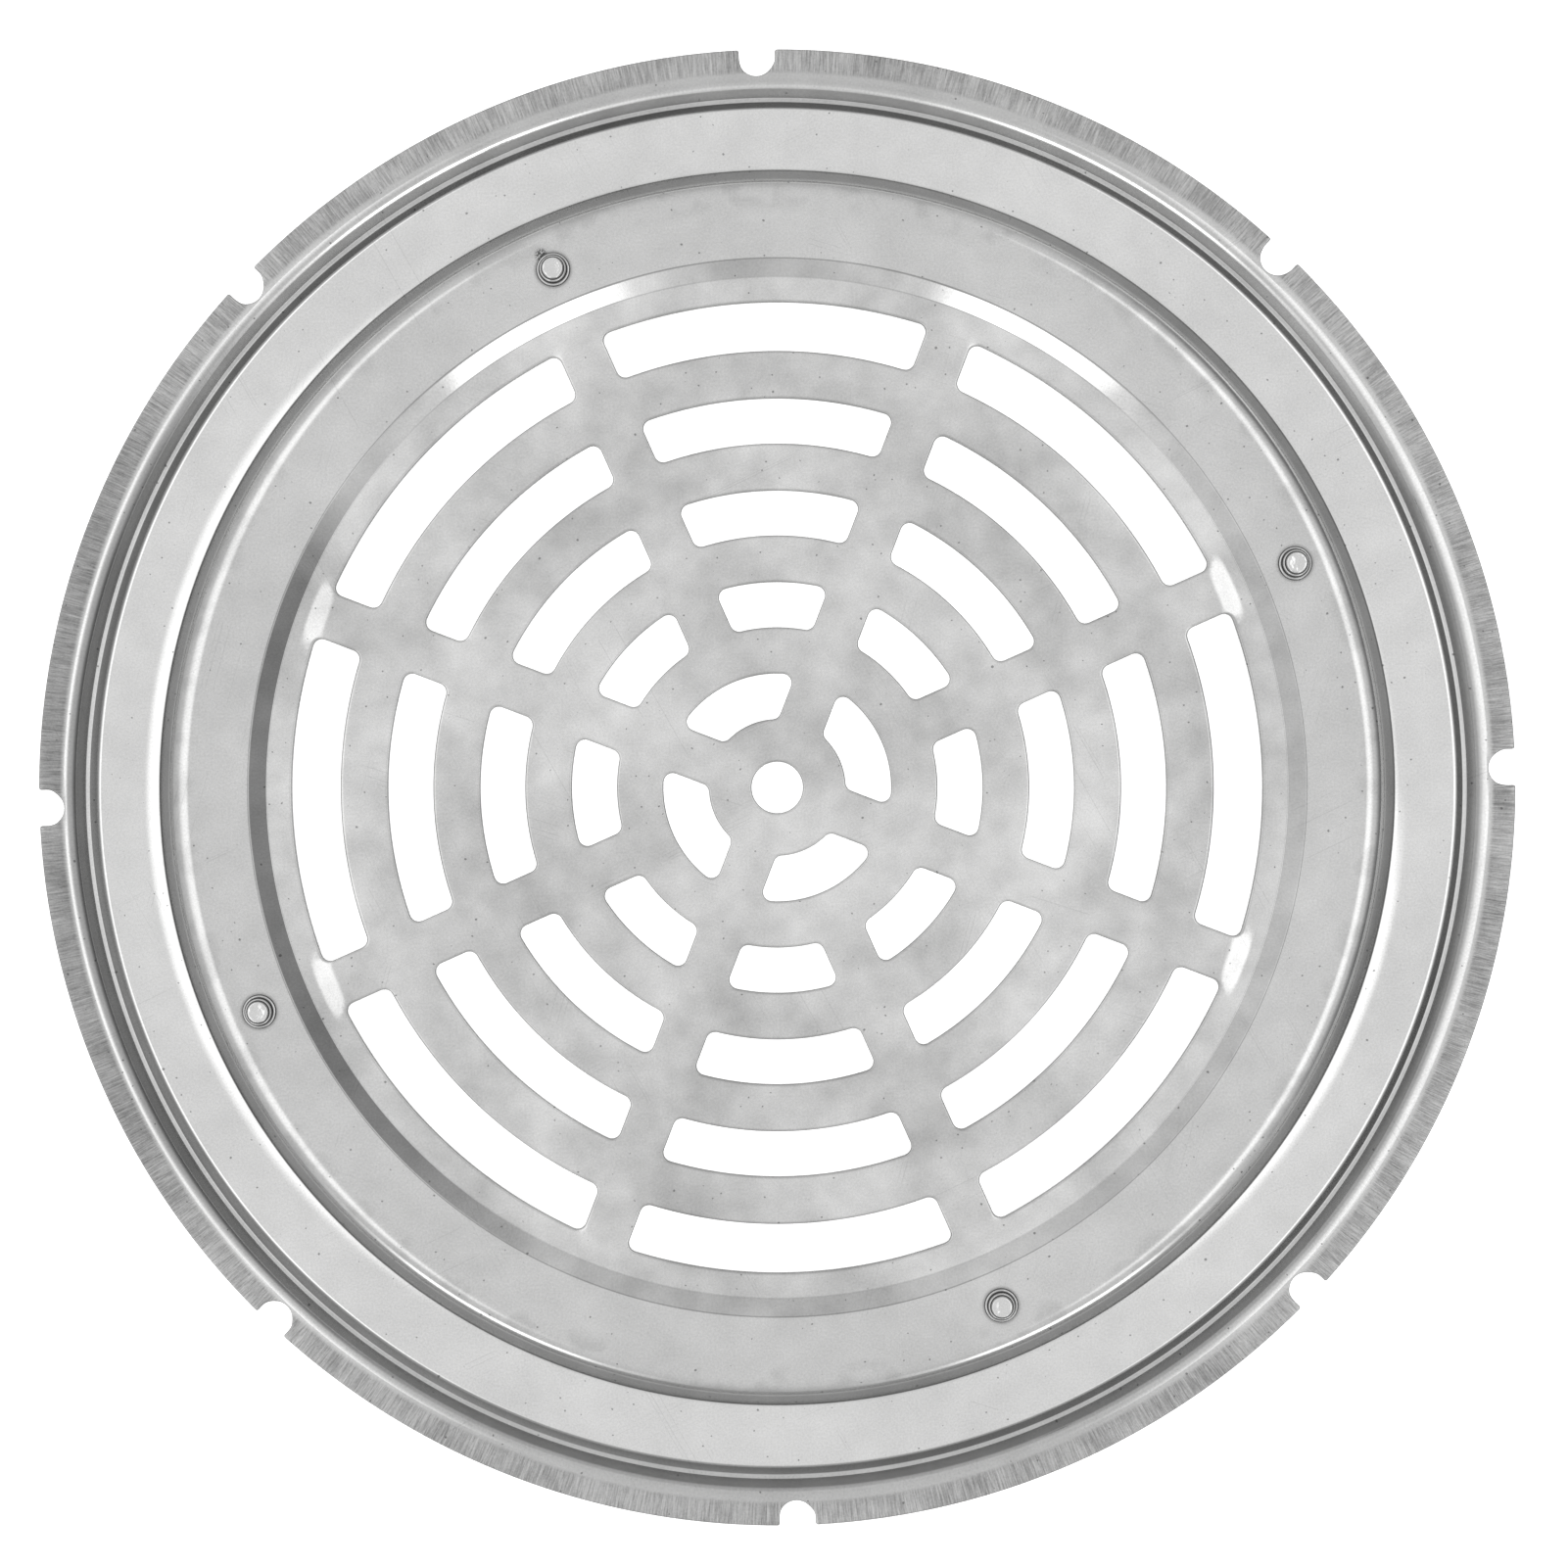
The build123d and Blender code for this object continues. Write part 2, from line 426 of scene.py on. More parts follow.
def flat_region(skin, loops, extra, faces):
    """Top and underside of a stretch of sheet inside the first loop and outside the others."""
    plan, kept = divided(loops, extra)
    for share in (0, 1):
        marks = skin.add([sheet_point(place, share, *faces) for place in plan])
        for mark, place in zip(marks, plan):
            skin.grime_and_shade[mark] = rivet_grime_and_shade(*place)
        skin.faces += [tuple(marks[i] for i in t) for t in kept]


def cut_wall(skin, outline, roll, faces):
    """The sheared wall of an opening or the rim: a rolled upper edge, then the wall, then a flat foot."""
    # Each level: how far it is grown, how far down the sheet it lies, and its grime and painted shade,
    # rising down the rolled edge to all on the wall, half on the foot and none under it.
    levels = []
    for step in range(ROLL_STEPS + 1):
        angle = pi / 2 * step / ROLL_STEPS
        share = roll[1] * (1 - cos(angle)) / SHEET
        levels.append((roll[0] * (1 - sin(angle)), share, step / ROLL_STEPS))
    levels.append((0.0, 1 - FLAT_FOOT / SHEET, 1.0))
    levels.append((FLAT_FOOT, 1.0, 0.5))
    levels.append((roll[0], 1.0, 0.0))
    before = None
    for grow, share, mark in levels:
        loop = skin.add([sheet_point(place, share, *faces) for place in outline(grow)], mark)
        if before:
            skin.strip(before, loop)
        before = loop


def turned(skin, line):
    """The surface that a section line sweeps round the axis."""
    before = None
    for radius, height in line:
        loop = skin.add([(*off_centre(x, y), height + relief(x, y)) for x, y in circle(radius, AROUND)])
        if before:
            skin.strip(before, loop)
        before = loop


def make_plate():
    """The pressed sheet: disc, step, annulus, channel and notched flange in one closed mesh."""
    skin = Skin()
    step = bent_line(STEP, STEP_ROUNDS)
    step_under = bent_line(*under(STEP, STEP_ROUNDS))
    channel = bent_line(CHANNEL, CHANNEL_ROUNDS)
    channel_under = bent_line(*under(CHANNEL, CHANNEL_ROUNDS))
    for line in (step, step_under):
        turned(skin, line)
    lip = []
    for line in (channel, channel_under):
        lip_height = float(np.interp(LIP_START, *heights(line)))
        turned(skin, [p for p in line if p[0] < LIP_START] + [(LIP_START, lip_height)])
        lip.append(heights(line))

    disc = (heights(step), heights(step_under))
    outlines = hole_outlines()
    loops = [circle(STEP_START, AROUND)] + [outline(SLOT_ROLL[0]) for outline in outlines]
    roots = clear_of(root_points(), loops, 0.4 * ROOT_SPACING)
    spread = filling(CENTRE_HOLE, STEP_START, FILL_SPACING, loops + [roots])
    flat_region(skin, loops, roots + spread, disc)
    for outline in outlines:
        cut_wall(skin, outline, SLOT_ROLL, disc)

    annulus = (heights(channel), heights(channel_under))
    inner, outer = STEP[-1][0], CHANNEL[0][0]
    loops = [circle(outer, AROUND), circle(inner, AROUND)]
    near = []
    for place in rivet_places():
        hole = partial(circle, count=HOLE_POINTS, centre=place)
        loops.append(hole(RIVET_HOLE + RIM_ROLL[0]))
        cut_wall(skin, lambda grow, hole=hole: hole(RIVET_HOLE + grow), RIM_ROLL, annulus)
        for ring in range(1, HOLE_RINGS + 1):
            near += hole(RIVET_HOLE + RIM_ROLL[0] + HOLE_RING_SPACING * ring)
    near = [p for p in near if inner + 0.3 < hypot(*p) < outer - 0.3]
    spread = filling(inner, outer, 2 * FILL_SPACING, loops + [near])
    flat_region(skin, loops, near + spread, annulus)

    loops = [rim_outline(RIM_ROLL[0]), circle(LIP_START, AROUND)]
    rings = [p for radius in LIP_RINGS for p in circle(radius, AROUND)]
    flat_region(skin, loops, clear_of(rings, loops[:1], 0.35), lip)
    cut_wall(skin, rim_outline, RIM_ROLL, lip)
    return skin.mesh("pressed_grate")


# ---------------------------------------------------------------- rivets

ANNULUS_TOP = 2.0
CLIP_STRIP = 0.4
# Each row of the head's section: radius, height, and the painted shade with grime in its grooves.
RIVET_HEAD = (
    (0.0, 1.36, 0.0),
    (0.5, 1.38, 0.0),
    (0.9, 1.43, 0.0),
    (1.25, 1.47, 0.0),
    (1.36, 1.42, 0.1),
    (1.43, 1.28, 0.5),
    (1.5, 1.08, 1.0),
    (1.57, 0.98, 1.0),
    (1.63, 0.98, 0.4),
    (1.7, 0.96, 0.0),
    (1.76, 0.88, 0.1),
    (1.8, 0.7, 0.7),
    (1.84, 0.4, 1.0),
    (1.92, 0.25, 1.0),
    (2.02, 0.23, 0.5),
    (2.12, 0.22, 0.1),
    (2.2, 0.15, 0.6),
    (2.27, 0.07, 1.0),
    (2.3, 0.0, 1.0),
)
RIVET_SHANK = 1.25
RIVET_TAIL = ((RIVET_SHANK, 0.0), (2.1, 0.0), (2.1, -0.38), (1.95, -0.55), (1.5, -0.68), (0.0, -0.7))
RIVET_POINTS = 64
HAMMERING = 0.05
HAMMER_SCALE = 1.3
MIDDLE_RADIUS = 0.001
BASE_HEIGHT = 0.2


def make_rivet(number):
    """A set rivet: a dished head with a collar and a base flange, its shank and its tail."""
    centre = rivet_places()[number]
    foot = ANNULUS_TOP - SHEET - CLIP_STRIP
    line = [(r, ANNULUS_TOP + z, grime_and_shade) for r, z, grime_and_shade in RIVET_HEAD]
    line.append((RIVET_SHANK, ANNULUS_TOP, 0.0))
    line += [(r, foot + z, 0.0) for r, z in RIVET_TAIL]
    skin = Skin()
    before = None
    for radius, height, grime_and_shade in line:
        points = []
        for x, y in circle(max(radius, MIDDLE_RADIUS), RIVET_POINTS, centre):
            place = Vector((x, y, number)) * HAMMER_SCALE
            beaten = HAMMERING * noise.noise(place) if height > ANNULUS_TOP + BASE_HEIGHT else 0.0
            points.append((x, y, height - abs(beaten)))
        loop = skin.add(points, grime_and_shade)
        if before:
            skin.strip(before, loop)
        before = loop
    return skin.mesh(f"set_rivet_{number + 1}")


# ---------------------------------------------------------------- spring clips

CLIP_WIDTH = 10.0
CLIP_CORNER = 1.2
CLIP_FOOT_INNER = 72.9
CLIP_BEND = (79.1, 1.0)
CLIP_BULGE = (83.1, -10.5)
CLIP_TIP = (79.8, -15.5)
CLIP_ROUNDS = (0.9, 1.6)
CLIP_SPACING = 0.35
CLIP_PIERCED = (74.2, 78.3)
CRISP_ANGLE = radians(40)


def spaced(line, spacing):
    """The line with points added so that none are further apart than spacing."""
    dense = [line[0]]
    for one, two in zip(line, line[1:]):
        count = max(1, ceil(hypot(two[0] - one[0], two[1] - one[1]) / spacing))
        dense += [tuple(a + (b - a) * i / count for a, b in zip(one, two)) for i in range(1, count + 1)]
    return dense


def make_clip(number):
    """One bent strip: its foot under the annulus, the leaf that grips the drain and the bend between."""
    corners = ((CLIP_FOOT_INNER, CLIP_BEND[1]), CLIP_BEND, CLIP_BULGE, CLIP_TIP)
    line = spaced(bent_line(corners, CLIP_ROUNDS), CLIP_SPACING)
    run = [0.0]
    for one, two in zip(line, line[1:]):
        run.append(run[-1] + hypot(two[0] - one[0], two[1] - one[1]))
    bearing = radians(RIVET_START + 360 / RIVET_COUNT * number)

    def lay(out, across, up):
        """A point this far out along the clip's bearing and this far across it."""
        return out * cos(bearing) - across * sin(bearing), out * sin(bearing) + across * cos(bearing), up

    skin = Skin()
    before = None
    pierced = []
    for i, (radius, height) in enumerate(line):
        last, following = line[max(i - 1, 0)], line[min(i + 1, len(line) - 1)]
        angle = atan2(following[1] - last[1], following[0] - last[0])
        to_end = min(run[i], run[-1] - run[i], CLIP_CORNER)
        cut = CLIP_CORNER - sqrt(CLIP_CORNER**2 - (CLIP_CORNER - to_end) ** 2)
        half = CLIP_WIDTH / 2 - cut
        outline = []
        for side, face in ((-1, 1), (1, 1), (1, -1), (-1, -1)):
            out = radius - face * CLIP_STRIP / 2 * sin(angle)
            outline.append(lay(out, side * half, height + face * CLIP_STRIP / 2 * cos(angle)))
        loop = skin.add(outline)
        if CLIP_PIERCED[0] < radius < CLIP_PIERCED[1] and height == CLIP_BEND[1]:
            pierced.append(radius)
        if before is None:
            skin.faces.append(tuple(loop))
        elif len(pierced) > 1 and pierced[-1] == radius:
            skin.faces.append((before[1], before[2], loop[2], loop[1]))
            skin.faces.append((before[3], before[0], loop[0], loop[3]))
        else:
            skin.strip(before, loop)
        before = loop
    skin.faces.append(tuple(before))

    edge = [(radius, -CLIP_WIDTH / 2) for radius in pierced]
    edge += [(radius, CLIP_WIDTH / 2) for radius in reversed(pierced)]
    hole = circle(RIVET_HOLE, HOLE_POINTS, (RIVET_PITCH_RADIUS, 0.0))
    plan, kept = divided([edge, hole], [])
    rings = []
    for face in (1, -1):
        level = CLIP_BEND[1] + face * CLIP_STRIP / 2
        marks = skin.add([lay(*place, level) for place in plan])
        skin.faces += [tuple(marks[i] for i in t) for t in kept]
        rings.append(skin.add([lay(*place, level) for place in hole]))
    skin.strip(*rings)
    return skin.mesh(f"spring_clip_{number + 1}")


def flat_shading(thing):
    """Lets each point take its shading from the larger faces round it, so flats look flat."""
    weighted = thing.modifiers.new("flat shading", "WEIGHTED_NORMAL")
    weighted.mode = "FACE_AREA"
    weighted.weight = 50
    weighted.keep_sharp = True


def crisp_edges(thing):
    """Stops the shading from running over the thing's edges."""
    work = bmesh.new()
    work.from_mesh(thing.data)
    for edge in work.edges:
        edge.smooth = edge.calc_face_angle() < CRISP_ANGLE
    work.to_mesh(thing.data)
    work.free()


# ---------------------------------------------------------------- materials


class Graph:
    """A node tree, with short calls that add a node and link it."""

    def __init__(self, owner):
        owner.use_nodes = True
        self.tree = owner.node_tree
        self.tree.nodes.clear()
        self.coordinates = self.node("ShaderNodeTexCoord").outputs

    def node(self, kind, **settings):
        """A new node of this kind with these settings."""
        made = self.tree.nodes.new(kind)
        for name, value in settings.items():
            setattr(made, name, value)
        return made

    def feed(self, socket, value):
        """Links value to the socket if it is a socket itself, and else sets it."""
        if isinstance(value, bpy.types.NodeSocket):
            self.tree.links.new(value, socket)
        else:
            socket.default_value = value

    def math(self, operation, *values):
        """The result of a sum on numbers or sockets."""
        made = self.node("ShaderNodeMath", operation=operation)
        for socket, value in zip(made.inputs, values):
            self.feed(socket, value)
        return made.outputs[0]

    def plus(self, one, two):
        return self.math("ADD", one, two)

    def minus(self, one, two):
        return self.math("SUBTRACT", one, two)

    def times(self, one, two):
        return self.math("MULTIPLY", one, two)

    def mix(self, share, one, two):
        """Between two numbers by share."""
        made = self.node("ShaderNodeMix", data_type="FLOAT")
        for socket, value in zip((made.inputs[0], made.inputs[2], made.inputs[3]), (share, one, two)):
            self.feed(socket, value)
        return made.outputs[0]

    def length(self, x, y):
        """The distance of (x, y) from (0, 0)."""
        return self.math("SQRT", self.plus(self.times(x, x), self.times(y, y)))

    def ramp(self, value, low, high):
        """0 where value is below low, 1 above high, and smooth between; low may be the larger."""
        made = self.node("ShaderNodeMapRange", interpolation_type="SMOOTHSTEP")
        self.feed(made.inputs["Value"], value)
        made.inputs["From Min"].default_value = low
        made.inputs["From Max"].default_value = high
        return made.outputs["Result"]

    def between(self, value, low, high, soft):
        """1 where value is between low and high, with edges as wide as soft."""
        rise = self.ramp(value, low - soft / 2, low + soft / 2)
        fall = self.ramp(value, high + soft / 2, high - soft / 2)
        return self.times(rise, fall)

    def noise(self, place, scale, detail=2.0, roughness=0.5):
        """Soft noise from 0 to 1, with features about 1 / scale across."""
        made = self.node("ShaderNodeTexNoise", noise_dimensions="3D")
        self.feed(made.inputs["Vector"], place)
        made.inputs["Scale"].default_value = scale
        made.inputs["Detail"].default_value = detail
        made.inputs["Roughness"].default_value = roughness
        return made.outputs["Fac"]

    def vector(self, *parts):
        """A vector made of numbers or sockets."""
        made = self.node("ShaderNodeCombineXYZ")
        for socket, value in zip(made.inputs, parts):
            self.feed(socket, value)
        return made.outputs[0]

    def parts(self, vector):
        """The x, y and z of a vector."""
        split = self.node("ShaderNodeSeparateXYZ")
        self.feed(split.inputs[0], vector)
        return list(split.outputs)


class Finish(Graph):
    """A material's nodes."""

    def __init__(self, name):
        self.material = bpy.data.materials.new(name)
        super().__init__(self.material)

    def varied(self, pattern, amount):
        """A pattern from 0 to 1 as a swing of this amount about zero."""
        return self.times(self.minus(pattern, 0.5), amount)

    def place(self):
        """The place on the object in millimetres: x, y and z."""
        return [self.times(part, 1 / MM) for part in self.parts(self.coordinates["Object"])]

    def metal(self, shade, roughness, bump, bump_height):
        """Ends the material as bare metal of this shade, with the bump given in millimetres."""
        colour = self.node("ShaderNodeCombineColor")
        for socket, tint in zip(colour.inputs, (1.0, 1.0, 0.995)):
            self.feed(socket, self.times(shade, tint))
        lift = self.node("ShaderNodeBump")
        lift.inputs["Strength"].default_value = 1.0
        lift.inputs["Distance"].default_value = bump_height * MM
        self.feed(lift.inputs["Height"], bump)
        shader = self.node("ShaderNodeBsdfPrincipled")
        shader.inputs["Metallic"].default_value = 1.0
        self.feed(shader.inputs["Base Color"], colour.outputs[0])
        self.feed(shader.inputs["Roughness"], roughness)
        self.feed(shader.inputs["Normal"], lift.outputs[0])
        out = self.node("ShaderNodeOutputMaterial")
        self.feed(out.inputs["Surface"], shader.outputs[0])
        return self.material


# Marks on the sheet. A scratch has a bearing, the spacing of its lines and the length of its pieces.
SMUDGE = (-29.9, 72.9)
SMUDGE_EDGE = (1.15, 0.5)
SCRATCHES = ((24, 11.0, 13.0), (73, 17.0, 11.0), (118, 14.0, 17.0), (161, 19.0, 12.0))
SCRATCH_WIDTH = 0.06
SCRATCH_SHARE = 0.4

# Radii at which the sheet's finish and its painted shade change. A band has its two radii and the width of
# its edges, and an edge runs from the radius where there is none of a finish to the radius where there is
# all of it.
DISC_EDGE = (71.9, 71.5)
STEP_BAND = (69.45, 71.65, 0.15)
STEP_FOOT_CREASE = (69.38, 69.56, 0.1)
STEP_HEAD_CREASE = (71.55, 71.75, 0.12)
DULL_BAND = ((77.0, 80.0), (82.5, 81.5))
INNER_WALL_BAND = (82.6, 84.45, 0.7)
INNER_WALL_CREASE = (84.18, 84.42, 0.12)
RING_BAND = (84.42, 92.95, 0.3)
OUTER_FOOT_BAND = ((92.7, 92.85), (93.68, 93.52))
LEDGE_BAND = (93.6, 94.15, 0.2)
HEAD_BAND = (94.15, 95.45, 0.3)
EAST_HEAD_BAND = (94.15, 94.75, 0.5)
WEST_HEAD_BAND = (94.15, 96.2, 0.4)
LAST_BEND_BAND = (95.6, 97.1, 0.5)
FLANGE_EDGE = (96.6, 97.3)

# Sines and cosines of the bearings between which the painted shade and painted highlight change from one
# side to another
NORTHERN = (0.3, 0.65)
POLES = (0.75, 0.92)
EAST_HEAD_SIDE = (0.7, 0.95)
WEST_HEAD_SIDE = (-0.6, -0.9)
WEST_FLANGE_SIDE = (-0.75, -0.97)
EAST_FLANGE_SIDE = (0.9, 0.98)

# Reflectance of the bare sheet, the scale of its patterns and how much each varies it (off the disc
# and on it, where there are two), the share of it that each kind of mark leaves, and the share that each
# band of painted shade or painted highlight gives
SHEET_SHADE = 0.655
DISC_SHADE = 0.67
CLOUDS = (1 / 26, 0.16, 0.66)
BLOTCHES = (1 / 5, 0.14, 0.34)
GRAIN = (3.2, 0.2)
GRAIN_HEIGHT = 0.0016
SPECKS = (1.7, 0.815, 0.85)
DULL_BLOTCHES = (0.46, 0.66)
SMUDGE_GRAIN = (0.42, 0.5)
STEP_FOOT_SHARE = 0.4
RING_GAIN = 0.09
DULL_LOSS = 0.11
FLANGE_LOSS = 0.21
DRAW_ROUND = 330.0
DRAW = (0.75, 0.32)
# Painted shade on the steep walls and the outer wall's foot.
WALL_PAINTED_SHADE = 0.56
# Painted shade on the narrow ledge of the outer wall.
LEDGE_PAINTED_SHADE = 0.8
# Painted shade on the outer wall's head, and a painted highlight on its north side.
HEAD_PAINTED_SHADE_AND_LIGHT = (0.77, 1.33)
# Painted shade on the east and west sides of the outer wall's head.
SIDE_HEAD_PAINTED_SHADE = 0.66
# Painted shade on the last bend at north and south.
POLE_BEND_PAINTED_SHADE = 0.84
# Painted shade on the flange's west side.
WEST_FLANGE_PAINTED_SHADE = 0.76
# Painted shade on the flange's east side.
EAST_FLANGE_PAINTED_SHADE = 0.88
SMUDGE_TINT = 0.2
# Painted shade in the creases.
CREASE_PAINTED_SHADE = 0.55
SPECK_TINT = 0.45
SCRATCH_TINT = 0.9
# Painted shade with grime, round the rivets and on the cut walls.
GRIME_AND_SHADE_TINT = 0.38
SHEET_ROUGHNESS = (0.13, 0.08)
BAND_ROUGHNESS = (0.09, 0.08, 0.15, 0.2, 0.4)


def scratches(finish, x, y, bearing, spread, length):
    """Thin straight broken lines along one bearing: 1 on a scratch."""
    turn = radians(bearing)
    across = finish.minus(finish.times(y, cos(turn)), finish.times(x, sin(turn)))
    lines = finish.node("ShaderNodeTexNoise", noise_dimensions="1D")
    finish.feed(lines.inputs["W"], finish.plus(finish.math("DIVIDE", across, spread), bearing))
    lines.inputs["Detail"].default_value = 0.0
    near_middle = finish.math("ABSOLUTE", finish.minus(lines.outputs["Fac"], 0.5))
    line = finish.ramp(near_middle, SCRATCH_WIDTH / spread, SCRATCH_WIDTH / 3 / spread)
    patch = finish.noise(finish.vector(x, y, bearing * 3.1), 1 / length, 1.0)
    return finish.times(line, finish.ramp(patch, 1 - SCRATCH_SHARE, 1.05 - SCRATCH_SHARE))


def draw_marks(finish, x, y, radius):
    """The radial marks that drawing leaves on the flange, fine ones and broad ones."""
    ray_x = finish.times(finish.math("DIVIDE", x, radius), DRAW_ROUND)
    ray_y = finish.times(finish.math("DIVIDE", y, radius), DRAW_ROUND)
    fine = finish.noise(finish.vector(ray_x, ray_y, finish.times(radius, 0.2)), 1.4, 2.0, 0.8)
    broad = finish.noise(finish.vector(ray_x, ray_y, finish.times(radius, 4.0)), 0.06, 3.0)
    return finish.plus(finish.varied(fine, DRAW[0]), finish.varied(broad, DRAW[1]))


def pressed_steel():
    """Bright cold-rolled stainless sheet: cloudy, grained and scratched, with draw marks on the flange,
    painted shade in its walls, creases and crevices and on some sides of its bends, and a painted
    highlight on the north side of the outer wall's head.
    """
    finish = Finish("pressed_steel")
    x, y, _ = finish.place()
    radius = finish.length(x, y)
    outer = finish.length(finish.plus(x, OFF_CENTRE[0]), finish.plus(y, OFF_CENTRE[1]))
    eastward = finish.math("DIVIDE", x, radius)
    northward = finish.math("DIVIDE", y, radius)
    poleward = finish.math("ABSOLUTE", northward)

    disc = finish.ramp(radius, *DISC_EDGE)
    step = finish.between(radius, *STEP_BAND)
    ring = finish.between(radius, *RING_BAND)
    flange = finish.ramp(radius, *FLANGE_EDGE)
    # Bands of painted shade: the walls with the outer wall's foot, the ledge, the outer wall's head with a
    # painted highlight on its north side, its east and west sides, and the last bend at north and south.
    outer_foot = finish.times(
        finish.ramp(radius, *OUTER_FOOT_BAND[0]), finish.ramp(outer, *OUTER_FOOT_BAND[1])
    )
    walls = finish.plus(finish.between(radius, *INNER_WALL_BAND), outer_foot)
    ledge = finish.between(outer, *LEDGE_BAND)
    head = finish.between(outer, *HEAD_BAND)
    east_head = finish.times(
        finish.between(outer, *EAST_HEAD_BAND), finish.ramp(eastward, *EAST_HEAD_SIDE)
    )
    west_head = finish.times(
        finish.between(outer, *WEST_HEAD_BAND), finish.ramp(eastward, *WEST_HEAD_SIDE)
    )
    last_bend = finish.times(finish.ramp(poleward, *POLES), finish.between(radius, *LAST_BEND_BAND))
    # Painted shade in the creases of the step and at the inner wall's foot.
    creases = finish.times(finish.between(radius, *STEP_FOOT_CREASE), STEP_FOOT_SHARE)
    for crease in (STEP_HEAD_CREASE, INNER_WALL_CREASE):
        creases = finish.plus(creases, finish.between(radius, *crease))

    flat = finish.vector(x, y, 0.0)
    clouds = finish.noise(flat, CLOUDS[0], 2.0)
    blotches = finish.noise(flat, BLOTCHES[0], 2.0, 0.5)
    grain = finish.noise(flat, GRAIN[0], 1.0, 0.7)
    specks = finish.ramp(finish.noise(flat, SPECKS[0], 0.0), *SPECKS[1:])
    marks = 0.0
    for scratch in SCRATCHES:
        marks = finish.plus(marks, scratches(finish, x, y, *scratch))
    smudge = finish.length(finish.minus(x, SMUDGE[0]), finish.minus(y, SMUDGE[1]))
    smudge = finish.times(finish.ramp(smudge, *SMUDGE_EDGE), finish.ramp(grain, *SMUDGE_GRAIN))
    dull = finish.times(finish.ramp(radius, *DULL_BAND[0]), finish.ramp(radius, *DULL_BAND[1]))
    dull = finish.times(dull, finish.ramp(blotches, *DULL_BLOTCHES))
    # Painted shade with grime: round each rivet's head and down the cut walls.
    grime_and_shade = finish.node("ShaderNodeAttribute", attribute_name="grime_and_shade").outputs["Fac"]

    cloudy = finish.varied(clouds, finish.mix(disc, *CLOUDS[1:]))
    blotchy = finish.varied(blotches, finish.mix(disc, *BLOTCHES[1:]))
    shade = finish.plus(finish.mix(disc, SHEET_SHADE, DISC_SHADE), finish.plus(cloudy, blotchy))
    shade = finish.plus(shade, finish.varied(grain, GRAIN[1]))
    shade = finish.minus(shade, finish.times(dull, DULL_LOSS))
    shade = finish.plus(shade, finish.times(ring, RING_GAIN))
    streaks = finish.minus(draw_marks(finish, x, y, radius), FLANGE_LOSS)
    shade = finish.plus(shade, finish.times(flange, streaks))
    # Each band's share of the shade: painted shade on the walls, ledge, head, its east and west sides,
    # last bend, creases and the flange's west and east sides, a painted highlight on the head's north
    # side, painted shade with grime round the rivets and on the cut walls, and the smudge, specks and
    # scratches as marks on the sheet.
    tints = (
        (walls, WALL_PAINTED_SHADE),
        (ledge, LEDGE_PAINTED_SHADE),
        (head, finish.mix(finish.ramp(northward, *NORTHERN), *HEAD_PAINTED_SHADE_AND_LIGHT)),
        (finish.plus(east_head, west_head), SIDE_HEAD_PAINTED_SHADE),
        (last_bend, POLE_BEND_PAINTED_SHADE),
        (finish.times(flange, finish.ramp(eastward, *WEST_FLANGE_SIDE)), WEST_FLANGE_PAINTED_SHADE),
        (finish.times(flange, finish.ramp(eastward, *EAST_FLANGE_SIDE)), EAST_FLANGE_PAINTED_SHADE),
        (smudge, SMUDGE_TINT),
        (creases, CREASE_PAINTED_SHADE),
        (specks, SPECK_TINT),
        (marks, SCRATCH_TINT),
        (grime_and_shade, GRIME_AND_SHADE_TINT),
    )
    for share, tint in tints:
        shade = finish.times(shade, finish.mix(share, 1.0, tint))

    roughness = finish.plus(SHEET_ROUGHNESS[0], finish.varied(blotches, SHEET_ROUGHNESS[1]))
    for share, level in zip((ring, step, walls, flange, grime_and_shade), BAND_ROUGHNESS):
        roughness = finish.mix(share, roughness, level)
    return finish.metal(shade, roughness, grain, GRAIN_HEIGHT)


def rivet_steel():
    """Bright set rivets with beaten tops, and painted shade with grime in their grooves."""
    finish = Finish("rivet_steel")
    place = finish.vector(*finish.place())
    beaten = finish.noise(place, 1.8, 1.0)
    grain = finish.noise(place, 9.0, 1.0)
    grime_and_shade = finish.node("ShaderNodeAttribute", attribute_name="grime_and_shade").outputs["Fac"]
    shade = finish.plus(0.72, finish.varied(grain, 0.3))
    # Painted shade with grime darkens the grooves.
    shade = finish.times(shade, finish.mix(grime_and_shade, 1.0, 0.08))
    roughness = finish.mix(grime_and_shade, finish.mix(beaten, 0.08, 0.22), 0.45)
    return finish.metal(shade, roughness, beaten, 0.05)


def spring_steel():
    """Satin spring strip, rolled along its length and a little darker than the plate."""
    finish = Finish("spring_steel")
    x, y, z = finish.place()
    clouds = finish.noise(finish.vector(x, y, z), 1 / 3, 3.0)
    grain = finish.noise(finish.vector(x, y, finish.times(z, 0.1)), 5.0, 2.0, 0.7)
    shade = finish.plus(0.5, finish.varied(clouds, 0.12))
    shade = finish.plus(shade, finish.varied(grain, 0.15))
    roughness = finish.mix(clouds, 0.24, 0.4)
    return finish.metal(shade, roughness, grain, 0.004)


# ---------------------------------------------------------------- the object

plate = make_plate()
plate.data.materials.append(pressed_steel())
flat_shading(plate)
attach(plate, "grate")
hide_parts("grate_plate")

rivet_finish = rivet_steel()
clip_finish = spring_steel()
for number in range(RIVET_COUNT):
    rivet = make_rivet(number)
    rivet.data.materials.append(rivet_finish)
    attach(rivet, "grate")
    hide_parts(f"rivet_{number + 1}")

    clip = make_clip(number)
    clip.data.materials.append(clip_finish)
    crisp_edges(clip)
    flat_shading(clip)
    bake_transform(clip)
    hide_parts(f"clip_foot_{number + 1}", f"clip_leaf_{number + 1}")


# ---------------------------------------------------------------- floor, light and camera

